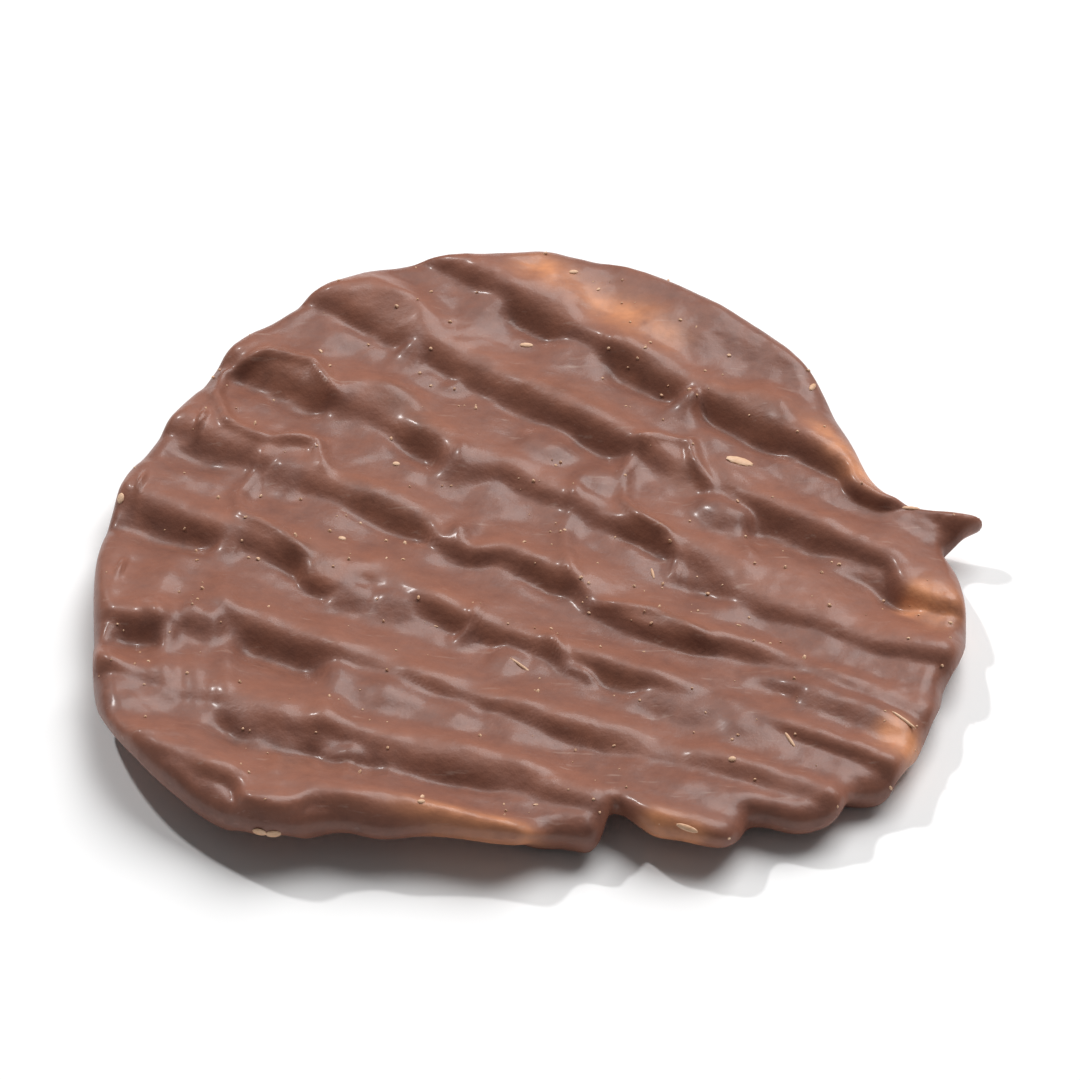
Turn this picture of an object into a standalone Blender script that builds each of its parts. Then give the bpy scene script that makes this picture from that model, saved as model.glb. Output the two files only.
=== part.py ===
"""A ridge-cut potato crisp coated in milk chocolate, as one closed solid.

The crisp lies with its shown side up. Its ridges spread like a fan from one far
point. The coat has run off the crests and set in the troughs, so the troughs are
shallower than the slice's own, with hollows where the coat sank. Underneath, the
lowest ridges have set flat against the tray, and the crisp rests on those flats.
Plan sizes are in millimetres, x to the right and y away from the viewer.
"""
import math

import bmesh
import bpy
import numpy as np
from mathutils import Vector
from mathutils.geometry import delaunay_2d_cdt

MM = 0.001

# Rim: the distance from the middle every 15 degrees, counter-clockwise from +X
RIM_RADII = (
    31.6, 27.4, 27.8, 29.6, 30.6, 32.1, 32.8, 33.2, 33.5, 32.9, 31.8, 32.3,
    32.9, 34.0, 36.6, 36.6, 35.2, 30.6, 30.6, 30.4, 33.3, 35.8, 34.5, 33.8,
)
# Where the rim bulges or is nicked: angle, spread in degrees, reach
RIM_BUMPS = (
    (5.0, 1.9, 3.8),
    (7.4, 2.6, 1.3),
    (88.0, 5.0, 0.9),
    (111.0, 6.0, 1.0),
    (243.5, 5.0, -1.8),
    (273.5, 4.0, -1.2),
    (283.0, 2.8, -2.9),
    (294.5, 3.6, 1.0),
    (301.0, 2.8, -1.8),
    (313.5, 2.6, -1.3),
    (336.5, 3.0, -0.6),
)
RIM_ROUNDING = 1.6

# Ridges: lines that spread from a far point, one every few degrees
FAN_POINT = (151.5, -85.4)
FIRST_SLOPE_ANGLE = 36.3
RIDGE_ANGLE = 2.48
RIDGE_HEIGHT = 1.0
STEEPNESS = 0.55
CREST_BREADTH = 0.15
WANDER = 0.04
LEAST_SHARE = 0.15

# Thickness, curl and the coat
HALF_THICKNESS = 1.25
CURL_ACROSS = 0.0020
CURL_ALONG = 0.0006
POOL_LEVEL = -0.10
POOL_SWELL = 0.20
POOL_SOFTNESS = 0.35
HOLLOW_DEPTH = 1.25
UNDERSIDE_FILL = 0.6
LUMP_HEIGHT = 0.11
FOOT_DEPTH = 1.0

# Marks were read looking down at the crisp, so each is moved back by its height when it is laid flat.
# Each row has x, y, half length along the ridges, half width, amount, and a turn in degrees.
SEEN_SHIFT_OF_CRESTS = 0.1
SEEN_SHIFT_OF_POOLS = 0.6

# Bends: how far the count of the ridges is shifted, so that their lines aren't straight
BENDS = (
    (-10.5, 28.5, 4.0, 2.4, 0.26, 0),
    (-11.0, 17.6, 3.0, 2.2, 0.20, 0),
    (-5.6, 9.0, 2.4, 2.8, -0.16, 0),
    (-17.5, 11.8, 1.8, 2.0, 0.26, 0),
    (-5.5, 1.0, 2.5, 2.5, -0.20, 0),
    (-15.8, -3.4, 2.2, 2.4, -0.22, 0),
    (-10.0, -1.0, 2.8, 2.8, 0.16, 0),
    (-30.0, -7.0, 4.5, 4.6, -0.42, 0),
    (-3.0, -21.5, 7.0, 2.0, 0.15, 0),
    (-19.4, -26.6, 2.6, 3.0, -0.28, 0),
    (-6.0, -27.6, 7.0, 2.0, 0.15, 0),
    (2.5, 30.5, 2.4, 2.5, 0.20, 0),
    (18.5, 17.0, 2.4, 2.0, 0.20, 0),
    (26.0, 7.0, 2.4, 2.5, -0.30, 0),
    (29.5, -4.5, 3.4, 2.5, -0.28, 0),
    (21.0, -8.0, 10.0, 2.8, -0.32, 0),
    (9.0, -8.0, 5.0, 2.4, -0.28, 0),
    (16.0, -23.0, 12.0, 2.4, 0.15, 0),
)

# Saddles: the share by which the ridges are lower or higher
SADDLES = (
    (11.6, 7.4, 4.4, 3.4, -0.7, -8),
    (-12.8, 15.0, 1.6, 2.0, -0.4, 0),
    (-23.4, 8.0, 1.8, 2.4, -0.5, 0),
    (-12.8, -13.6, 2.4, 2.8, -0.5, 0),
    (-25.0, -14.4, 6.0, 4.2, -0.7, 0),
    (22.0, -14.6, 8.0, 4.4, -0.6, 0),
    (14.0, -24.0, 10.0, 5.0, -0.50, 0),
    (3.0, 4.0, 3.0, 4.0, -0.35, 0),
    (13.5, 27.4, 10.0, 3.6, -0.95, 0),
)

# Hollows where the coat sank, and pools where it stands higher
HOLLOWS = (
    (-19.0, 18.8, 3.9, 2.0, -1.6, -4),
    (-12.1, 25.4, 2.8, 1.3, -0.9, 0),
    (-4.8, 20.4, 3.6, 1.3, -0.8, 0),
    (-0.4, 16.4, 2.0, 1.3, -0.6, 0),
    (-9.2, 14.0, 4.2, 1.5, -1.9, -30),
    (-11.4, 4.8, 4.6, 1.3, -1.7, -6),
    (-25.5, 10.2, 2.4, 1.3, -0.8, 12),
    (-28.2, 1.9, 3.8, 1.3, -1.0, 10),
    (-17.0, -1.4, 2.8, 1.3, -1.7, -14),
    (-5.8, -7.1, 1.5, 1.0, -1.2, -20),
    (-3.0, -8.6, 1.2, 0.9, -0.8, 0),
    (-29.7, -9.8, 1.9, 1.3, -1.0, 10),
    (-25.4, -9.4, 1.4, 1.3, -0.6, 0),
    (-19.0, -11.2, 3.2, 1.4, -1.3, -8),
    (-24.0, -16.2, 0.9, 1.6, -0.8, 0),
    (-21.0, -19.0, 1.2, 1.2, -0.9, -20),
    (-14.6, -22.6, 4.8, 1.1, -1.1, 24),
    (-5.6, -23.6, 3.4, 1.1, -0.7, 6),
    (0.4, 25.9, 2.4, 1.3, -1.1, 0),
    (9.0, 19.8, 3.4, 1.7, -1.7, 6),
    (17.0, 14.6, 3.8, 2.0, -1.8, 6),
    (12.2, 16.9, 0.9, 1.6, 0.8, 0),
    (12.0, 8.2, 1.7, 1.5, -1.3, -26),
    (8.9, 1.9, 2.2, 1.1, -1.3, -4),
    (19.4, 1.2, 3.4, 1.3, -1.1, 2),
    (26.0, -4.4, 3.2, 1.1, -0.7, 2),
    (11.0, -8.8, 3.4, 0.9, -1.2, 0),
    (6.5, -14.1, 1.8, 0.9, -1.3, 0),
    (0.2, -9.4, 1.6, 1.1, -0.6, 0),
    (18.0, -15.2, 1.8, 1.0, -0.6, 4),
    (5.8, -19.7, 2.6, 1.1, -0.6, 8),
    (1.0, -2.6, 2.2, 1.1, -0.9, -10),
    (-9.0, 22.6, 1.2, 1.5, 0.7, 0),
    (-14.6, 17.0, 1.2, 1.5, 0.6, 0),
    (-18.6, 8.8, 1.6, 1.8, 1.0, 0),
    (-5.2, 1.6, 1.0, 1.6, 0.8, 0),
    (-13.6, -4.4, 1.5, 1.8, 0.9, 0),
    (-22.6, 1.6, 1.0, 1.8, 0.8, 0),
    (-10.2, -5.4, 2.0, 1.6, 0.8, 0),
    (-4.5, -8.3, 0.7, 1.4, 0.7, 0),
    (-25.0, -8.2, 1.8, 2.4, 1.3, 0),
    (-13.2, -14.6, 1.6, 2.0, 0.9, 0),
    (-8.6, -16.8, 3.6, 1.8, 0.7, 0),
    (-27.4, -22.4, 3.6, 2.2, 0.7, 0),
    (14.6, 4.0, 2.4, 1.9, 0.8, 0),
    (5.0, 7.4, 1.8, 1.8, 0.7, 0),
    (23.0, -16.4, 7.4, 1.6, 0.9, 0),
)

# Facets
RIM_POINTS = 190
TOP_ROWS_PER_RIDGE = 8
TOP_STEP = 1.3
UNDERSIDE_ROWS_PER_RIDGE = 6
UNDERSIDE_STEP = 2.0
TOP_RINGS = (0.12, 0.5, 1.05)
UNDERSIDE_RINGS = (0.2, 0.8)

# Finish
CHOCOLATE = (0.270, 0.108, 0.073, 1.0)
CHOCOLATE_ROUGHNESS = 0.36


def angle_gap(angles, centre):
    """Degrees from a centre angle, between minus 180 and 180."""
    return (angles - centre + 180.0) % 360.0 - 180.0


def rim_radius(angles):
    """The rim's distance from the middle at angles in degrees."""
    radii = np.array(RIM_RADII)
    steps = (angles % 360.0) * len(radii) / 360.0
    first = np.floor(steps).astype(int)
    part = steps - first
    before, here, after, beyond = (radii[(first + k) % len(radii)] for k in (-1, 0, 1, 2))
    cubic = 3.0 * (here - after) + beyond - before
    bend = 2.0 * before - 5.0 * here + 4.0 * after - beyond
    smooth = here + 0.5 * part * (after - before + part * (bend + part * cubic))
    for centre, spread, reach in RIM_BUMPS:
        smooth = smooth + reach * np.exp(-(angle_gap(angles, centre) / spread) ** 2)
    return smooth


def rim_loop(count):
    """Points evenly spaced along the rim, counter-clockwise."""
    angles = np.linspace(0.0, 360.0, 4000, endpoint=False)
    turns = np.radians(angles)
    points = rim_radius(angles)[:, None] * np.column_stack((np.cos(turns), np.sin(turns)))
    steps = np.linalg.norm(np.roll(points, -1, axis=0) - points, axis=1)
    length = np.concatenate(([0.0], np.cumsum(steps)))
    closed = np.vstack((points, points[:1]))
    wanted = np.linspace(0.0, length[-1], count, endpoint=False)
    return np.column_stack([np.interp(wanted, length, closed[:, axis]) for axis in (0, 1)])


def inner_ring(rim, inset):
    """The rim's points moved straight inwards, without those that come near another stretch."""
    along = np.roll(rim, -1, axis=0) - np.roll(rim, 1, axis=0)
    along = along / np.linalg.norm(along, axis=1)[:, None]
    ring = rim + inset * np.column_stack((-along[:, 1], along[:, 0]))
    return ring[rim_distance(ring, rim) > 0.8 * inset]


def rim_distance(points, rim):
    """How far each plan point is from the rim."""
    ends = np.roll(rim, -1, axis=0)
    nearest = np.full(len(points), np.inf)
    for start, end in zip(rim, ends):
        edge = end - start
        along = np.clip((points - start) @ edge / (edge @ edge), 0.0, 1.0)
        gap = np.linalg.norm(points - start - along[:, None] * edge, axis=1)
        nearest = np.minimum(nearest, gap)
    return nearest


def fan_place(points):
    """The ridge count across the fan, and the distance along the ridges from the middle."""
    back = FAN_POINT[0] - points[:, 0]
    up = points[:, 1] - FAN_POINT[1]
    count = (FIRST_SLOPE_ANGLE - np.degrees(np.arctan2(up, back))) / RIDGE_ANGLE
    along = math.hypot(*FAN_POINT) - np.hypot(back, up)
    return count, along


def fan_rows(rows_per_ridge, step):
    """Plan points in staggered rows that follow the ridges."""
    points = []
    reach = math.hypot(*FAN_POINT)
    for row in range(-3 * rows_per_ridge, 9 * rows_per_ridge):
        angle = math.radians(FIRST_SLOPE_ANGLE - RIDGE_ANGLE * row / rows_per_ridge)
        shift = 0.5 * step * (row % 2)
        for along in np.arange(-42.0, 42.0, step) + shift:
            x = FAN_POINT[0] - (reach - along) * math.cos(angle)
            y = FAN_POINT[1] + (reach - along) * math.sin(angle)
            points.append((x, y))
    return np.array(points)


def higher(first, second, softness):
    """The higher of two surfaces, with the crease between them rounded."""
    return 0.5 * (first + second + np.sqrt((first - second) ** 2 + softness ** 2))


def lower(first, second, softness):
    """The lower of two surfaces, with the crease between them rounded."""
    return -higher(-first, -second, softness)


def fan_axis(x, y):
    """Turns plan places into lengths along and across the fan's middle line."""
    turn = math.atan2(FAN_POINT[1], FAN_POINT[0])
    return x * math.cos(turn) + y * math.sin(turn), y * math.cos(turn) - x * math.sin(turn)


def curl_at(x, y):
    """How high the whole slice's gentle dish stands at a place."""
    along, across = fan_axis(x, y)
    return CURL_ACROSS * across ** 2 + CURL_ALONG * along ** 2


def soft_marks(points, rows, seen_shift):
    """The sum of long soft bumps, each flat along its length and falling away at its ends."""
    total = np.zeros(len(points))
    for seen_x, seen_y, length, width, amount, degrees in rows:
        middle_y = seen_y + seen_shift - curl_at(seen_x, seen_y)
        turn = math.radians(degrees) - math.atan2(middle_y - FAN_POINT[1], FAN_POINT[0] - seen_x)
        from_x, from_y = points[:, 0] - seen_x, points[:, 1] - middle_y
        lengthwise = (from_x * math.cos(turn) + from_y * math.sin(turn)) / length
        crosswise = (from_y * math.cos(turn) - from_x * math.sin(turn)) / width
        total += amount * np.exp(-(lengthwise ** 4) - crosswise ** 2)
    return total


def ridge_wave(points, steepness):
    """The slice's own ridges: long slopes up to a crest, and a steeper slope down from it."""
    count, along = fan_place(points)
    count = count + WANDER * np.sin(along / 4.1 + points[:, 1] / 6.3)
    phase = 2.0 * math.pi * (count + soft_marks(points, BENDS, SEEN_SHIFT_OF_CRESTS))
    swing = -np.sin(phase + steepness * np.sin(phase))
    share = np.maximum(1.0 + soft_marks(points, SADDLES, SEEN_SHIFT_OF_CRESTS), LEAST_SHARE)
    return RIDGE_HEIGHT * share * (swing + CREST_BREADTH * (1.0 - swing ** 2))


def coat_level(points):
    """How high the coat stands in the troughs, with its hollows and pools."""
    along = fan_place(points)[1]
    level = POOL_LEVEL + POOL_SWELL * np.sin(along / 2.9 + points[:, 1] / 4.2)
    return level + HOLLOW_DEPTH * soft_marks(points, HOLLOWS, SEEN_SHIFT_OF_POOLS)


def sheet_heights(points, depth, side):
    """Heights of the shown side (1) or the underside (-1), meeting at the rounded rim."""
    wave = ridge_wave(points, STEEPNESS)
    lumps = LUMP_HEIGHT * np.sin(points[:, 0] / 3.3 - points[:, 1] / 2.7 + 1.0)
    coat = higher(wave, coat_level(points), POOL_SOFTNESS) + HALF_THICKNESS + lumps
    even_wave = ridge_wave(points, 0.0)
    underside = lower(even_wave, UNDERSIDE_FILL * RIDGE_HEIGHT, POOL_SOFTNESS) - HALF_THICKNESS
    middle = 0.5 * (coat + underside)
    inward = np.clip(depth / RIM_ROUNDING, 0.0, 1.0)
    closing = np.sqrt(1.0 - (1.0 - inward) ** 2)
    return curl_at(points[:, 0], points[:, 1]) + middle + side * 0.5 * (coat - underside) * closing


def plan_sheet(rim, rows_per_ridge, step, rings):
    """A flat sheet of triangles inside the rim, its rows along the ridges."""
    points = [rim]
    for inset in rings:
        points.append(inner_ring(rim, inset))
    rows = fan_rows(rows_per_ridge, step)
    reach = np.hypot(rows[:, 0], rows[:, 1])
    angles = np.degrees(np.arctan2(rows[:, 1], rows[:, 0]))
    rows = rows[reach < rim_radius(angles)]
    points.append(rows[rim_distance(rows, rim) > rings[-1] + 0.45])
    flat = [Vector(point) for point in np.vstack(points)]
    sheet = delaunay_2d_cdt(flat, [], [list(range(len(rim)))], 1, 1e-6)
    return np.array([tuple(point) for point in sheet[0]]), sheet[2]


def build_crisp():
    """Joins the shown side and the underside along the rim into one closed mesh."""
    rim = rim_loop(RIM_POINTS)
    mesh = bmesh.new()
    underside_low = None
    for side, rows, step, rings in (
        (-1, UNDERSIDE_ROWS_PER_RIDGE, UNDERSIDE_STEP, UNDERSIDE_RINGS),
        (1, TOP_ROWS_PER_RIDGE, TOP_STEP, TOP_RINGS),
    ):
        points, triangles = plan_sheet(rim, rows, step, rings)
        heights = sheet_heights(points, rim_distance(points, rim), side)
        if side < 0:
            underside_low = heights.min() + FOOT_DEPTH
            heights = np.maximum(heights, underside_low)
        corners = [mesh.verts.new((x, y, z)) for (x, y), z in zip(points, heights)]
        for triangle in triangles:
            mesh.faces.new([corners[index] for index in triangle])
    bmesh.ops.remove_doubles(mesh, verts=mesh.verts, dist=0.01)
    bmesh.ops.recalc_face_normals(mesh, faces=mesh.faces)
    low = Vector([min(corner.co[axis] for corner in mesh.verts) for axis in range(3)])
    high = Vector([max(corner.co[axis] for corner in mesh.verts) for axis in range(3)])
    base = Vector(((low.x + high.x) / 2.0, (low.y + high.y) / 2.0, low.z))
    for corner in mesh.verts:
        corner.co = (corner.co - base) * MM
    return mesh


def chocolate_material():
    """Satin milk chocolate."""
    material = bpy.data.materials.new("milk_chocolate")
    material.use_nodes = True
    surface = material.node_tree.nodes["Principled BSDF"]
    surface.inputs["Base Color"].default_value = CHOCOLATE
    surface.inputs["Roughness"].default_value = CHOCOLATE_ROUGHNESS
    surface.inputs["Metallic"].default_value = 0.0
    return material


def main():
    """Clears the scene and makes the crisp in a collection of its own."""
    for old in list(bpy.data.objects):
        bpy.data.objects.remove(old, do_unlink=True)
    collection = bpy.data.collections.new("chocolate_coated_crisp")
    bpy.context.scene.collection.children.link(collection)
    mesh = build_crisp()
    data = bpy.data.meshes.new("coated_crisp")
    mesh.to_mesh(data)
    print("triangles:", len(data.polygons))
    size = [max(v.co[k] for v in data.vertices) - min(v.co[k] for v in data.vertices) for k in range(3)]
    print("size in millimetres:", [round(1000.0 * length, 2) for length in size])
    mesh.free()
    data.materials.append(chocolate_material())
    crisp = bpy.data.objects.new("coated_crisp", data)
    collection.objects.link(crisp)


main()
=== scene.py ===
# %% [markdown]
# # A chocolate-coated ridged crisp
# The real thing is a thin slice of potato, cut with a ridged blade, fried until it curls a little, and then
# run through liquid milk chocolate. The chocolate drains off the ridges and gathers in the troughs, so the
# slice's regular waves end up under an irregular coat of pools, hollows and small overlapping lips.
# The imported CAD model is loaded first. It fixes the size and the place of everything made here.

import math

import bmesh
import bpy
from mathutils import Matrix, Vector


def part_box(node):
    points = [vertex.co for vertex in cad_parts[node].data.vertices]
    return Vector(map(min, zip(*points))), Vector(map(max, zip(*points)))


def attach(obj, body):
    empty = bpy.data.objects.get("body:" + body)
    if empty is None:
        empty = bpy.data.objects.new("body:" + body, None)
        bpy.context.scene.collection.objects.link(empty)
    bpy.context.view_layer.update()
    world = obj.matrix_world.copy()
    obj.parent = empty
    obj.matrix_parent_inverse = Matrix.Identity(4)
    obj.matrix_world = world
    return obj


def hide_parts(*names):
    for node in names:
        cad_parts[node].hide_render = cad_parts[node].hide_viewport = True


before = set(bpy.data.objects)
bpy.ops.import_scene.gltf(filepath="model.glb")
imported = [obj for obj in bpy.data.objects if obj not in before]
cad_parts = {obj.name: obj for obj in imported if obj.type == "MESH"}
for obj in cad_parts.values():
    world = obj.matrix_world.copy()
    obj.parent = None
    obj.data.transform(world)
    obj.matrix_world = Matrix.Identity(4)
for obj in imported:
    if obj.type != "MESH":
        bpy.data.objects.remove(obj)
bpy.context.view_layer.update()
crisp_low, crisp_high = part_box("coated_crisp")
MM = 0.001
print("CAD box in millimetres:", [round(1000.0 * side, 2) for side in crisp_high - crisp_low])

# %% [markdown]
# ## Formulas as arithmetic
# The crisp's shape follows a rule, so Geometry Nodes make it. A rule of thirty Math nodes is hard to read
# when each node is made and linked by hand. Python lets a class say what its arithmetic signs mean, so here
# each sign makes one Math node. The formulas below then read like the ones in a textbook, and the same class
# serves the shader trees, because both kinds of tree share the Math node.

# %% A field that makes Math nodes
class Field:
    """A number that differs from point to point; each arithmetic sign adds one Math node."""

    def __init__(self, socket):
        self.socket = socket
        self.tree = socket.id_data

    def math(self, operation, *values):
        return math_node(self.tree, operation, self, *values)

    def __add__(self, other):
        return self.math("ADD", other)

    def __sub__(self, other):
        return self.math("SUBTRACT", other)

    def __mul__(self, other):
        return self.math("MULTIPLY", other)

    def __truediv__(self, other):
        return self.math("DIVIDE", other)

    def __radd__(self, other):
        return math_node(self.tree, "ADD", other, self)

    def __rsub__(self, other):
        return math_node(self.tree, "SUBTRACT", other, self)

    def __neg__(self):
        return self * -1.0


def plug(tree, value, socket):
    """Links a field or a socket into an input, or sets the input to a plain value."""
    if isinstance(value, Field):
        value = value.socket
    if isinstance(value, bpy.types.NodeSocket):
        tree.links.new(value, socket)
    elif value is not None:
        socket.default_value = value


def math_node(tree, operation, *values):
    """One Math node with its inputs filled, as a field."""
    node = tree.nodes.new("ShaderNodeMath")
    node.operation = operation
    for value, socket in zip(values, node.inputs):
        plug(tree, value, socket)
    return Field(node.outputs[0])


def add_node(tree, kind, inputs=None, **settings):
    """One node of any kind, with its settings and its inputs filled by name or by number."""
    node = tree.nodes.new(kind)
    for name, value in settings.items():
        setattr(node, name, value)
    for key, value in (inputs or {}).items():
        plug(tree, value, node.inputs[key])
    return node


def new_tree(name, kind, inputs, outputs):
    """An empty node tree with named inputs and outputs."""
    tree = bpy.data.node_groups.new(name, kind)
    for label, socket_kind, value in inputs:
        socket = tree.interface.new_socket(label, in_out="INPUT", socket_type=socket_kind)
        if value is not None:
            socket.default_value = value
    for label, socket_kind in outputs:
        tree.interface.new_socket(label, in_out="OUTPUT", socket_type=socket_kind)
    return tree, tree.nodes.new("NodeGroupInput"), tree.nodes.new("NodeGroupOutput")


GEOMETRY = "NodeSocketGeometry"
FLOAT = "NodeSocketFloat"
print("helpers ready")

# %% [markdown]
# ## The rim
# A potato slice is a rough oval, and this one bulges at its lower left, runs straighter at its upper right,
# and has a torn web of chocolate standing out at its right. A rim drawn as distances from the middle is
# easy to shape: one number every fifteen degrees, joined by a smooth curve. Bell-shaped terms add
# the torn spur, the notch in the near edge and some lesser bulges and nicks. Each has its angle, its spread
# in degrees and its reach. Sizes here are in millimetres, x to the right, y away.

# %% Rim
RIM_RADII = (
    31.6, 27.4, 27.8, 29.6, 30.6, 32.1, 32.8, 33.2, 33.5, 32.9, 31.8, 32.3,
    32.9, 34.0, 36.6, 36.6, 35.2, 30.6, 30.6, 30.4, 33.3, 35.8, 34.5, 33.8,
)
RIM_BUMPS = (
    (5.0, 1.9, 3.8),
    (7.4, 2.6, 1.3),
    (88.0, 5.0, 0.9),
    (111.0, 6.0, 1.0),
    (243.5, 5.0, -1.8),
    (273.5, 4.0, -1.2),
    (283.0, 2.8, -2.9),
    (294.5, 3.6, 1.0),
    (301.0, 2.8, -1.8),
    (313.5, 2.6, -1.3),
    (336.5, 3.0, -0.6),
)
RIM_POINTS = 1200


def smooth_step_between(values, place):
    """A smooth closed curve through evenly spaced values, read at a place counted in values."""
    first = math.floor(place)
    part = place - first
    before, here, after, beyond = (values[(first + k) % len(values)] for k in (-1, 0, 1, 2))
    cubic = 3.0 * (here - after) + beyond - before
    bend = 2.0 * before - 5.0 * here + 4.0 * after - beyond
    return here + 0.5 * part * (after - before + part * (bend + part * cubic))


def rim_radius(degrees):
    """The rim's distance from the middle."""
    radius = smooth_step_between(RIM_RADII, degrees * len(RIM_RADII) / 360.0)
    for centre, spread, reach in RIM_BUMPS:
        gap = (degrees - centre + 180.0) % 360.0 - 180.0
        radius += reach * math.exp(-((gap / spread) ** 2))
    return radius


def loop_object(name, points):
    """A closed loop of edges."""
    mesh = bpy.data.meshes.new(name)
    mesh.from_pydata(points, [(k, (k + 1) % len(points)) for k in range(len(points))], [])
    loop = bpy.data.objects.new(name, mesh)
    bpy.context.scene.collection.objects.link(loop)
    return loop


rim_points = []
for step in range(RIM_POINTS):
    degrees = 360.0 * step / RIM_POINTS
    radius = rim_radius(degrees)
    turn = math.radians(degrees)
    rim_points.append((radius * math.cos(turn), radius * math.sin(turn), 0.0))
crisp = loop_object("crisp", rim_points)
rim_left = min(point[0] for point in rim_points)
rim_right = max(point[0] for point in rim_points)
print("rim runs from x =", round(rim_left, 1), "to", round(rim_right, 1))

# %% [markdown]
# ## Bends, hollows, saddles, lips and thin places
# The coat isn't regular. Where it drained into a trough it left long hollows, and where it gathered it left
# pools. Some crests sank into saddles that chocolate ran across, and some ridges bend a little on their way.
# Where the coat wrinkled or overlapped there are fine raised lips, and tan places show where it is thin.
# Each mark is one long soft bump: a place, a half length, a half width, a height, and a turn in degrees from
# the way the ridges run. The height is negative for a hollow or a saddle and positive for a pool. For a
# bend it is the part of a ridge's pitch by which the ridges move, and for a thin place it is a strength.
# A lip has its height, its half width and a short line of points, and each stretch of it becomes a mark.
# The places were read while looking down at the crisp, where what stands higher seems farther away. One
# small function undoes that, and each table becomes a cloud of points that a node tree can read.

# %% Tables of marks
BENDS = (
    (-10.5, 28.5, 4.0, 2.4, 0.26, 0),
    (-11.0, 17.6, 3.0, 2.2, 0.20, 0),
    (-5.6, 9.0, 2.4, 2.8, -0.16, 0),
    (-17.5, 11.8, 1.8, 2.0, 0.26, 0),
    (-5.5, 1.0, 2.5, 2.5, -0.20, 0),
    (-15.8, -3.4, 2.2, 2.4, -0.22, 0),
    (-10.0, -1.0, 2.8, 2.8, 0.16, 0),
    (-30.0, -7.0, 4.5, 4.6, -0.42, 0),
    (-3.0, -21.5, 7.0, 2.0, 0.15, 0),
    (-19.4, -26.6, 2.6, 3.0, -0.28, 0),
    (-20.0, -19.6, 3.0, 3.2, -0.15, 0),
    (-6.0, -27.6, 7.0, 2.0, 0.15, 0),
    (2.5, 30.5, 2.4, 2.5, 0.20, 0),
    (18.5, 17.0, 2.4, 2.0, 0.20, 0),
    (26.0, 7.0, 2.4, 2.5, -0.30, 0),
    (29.5, -4.5, 3.4, 2.5, -0.28, 0),
    (21.0, -8.0, 10.0, 2.8, -0.32, 0),
    (9.0, -8.0, 5.0, 2.4, -0.28, 0),
    (16.0, -23.0, 12.0, 2.4, 0.15, 0),
)
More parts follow.
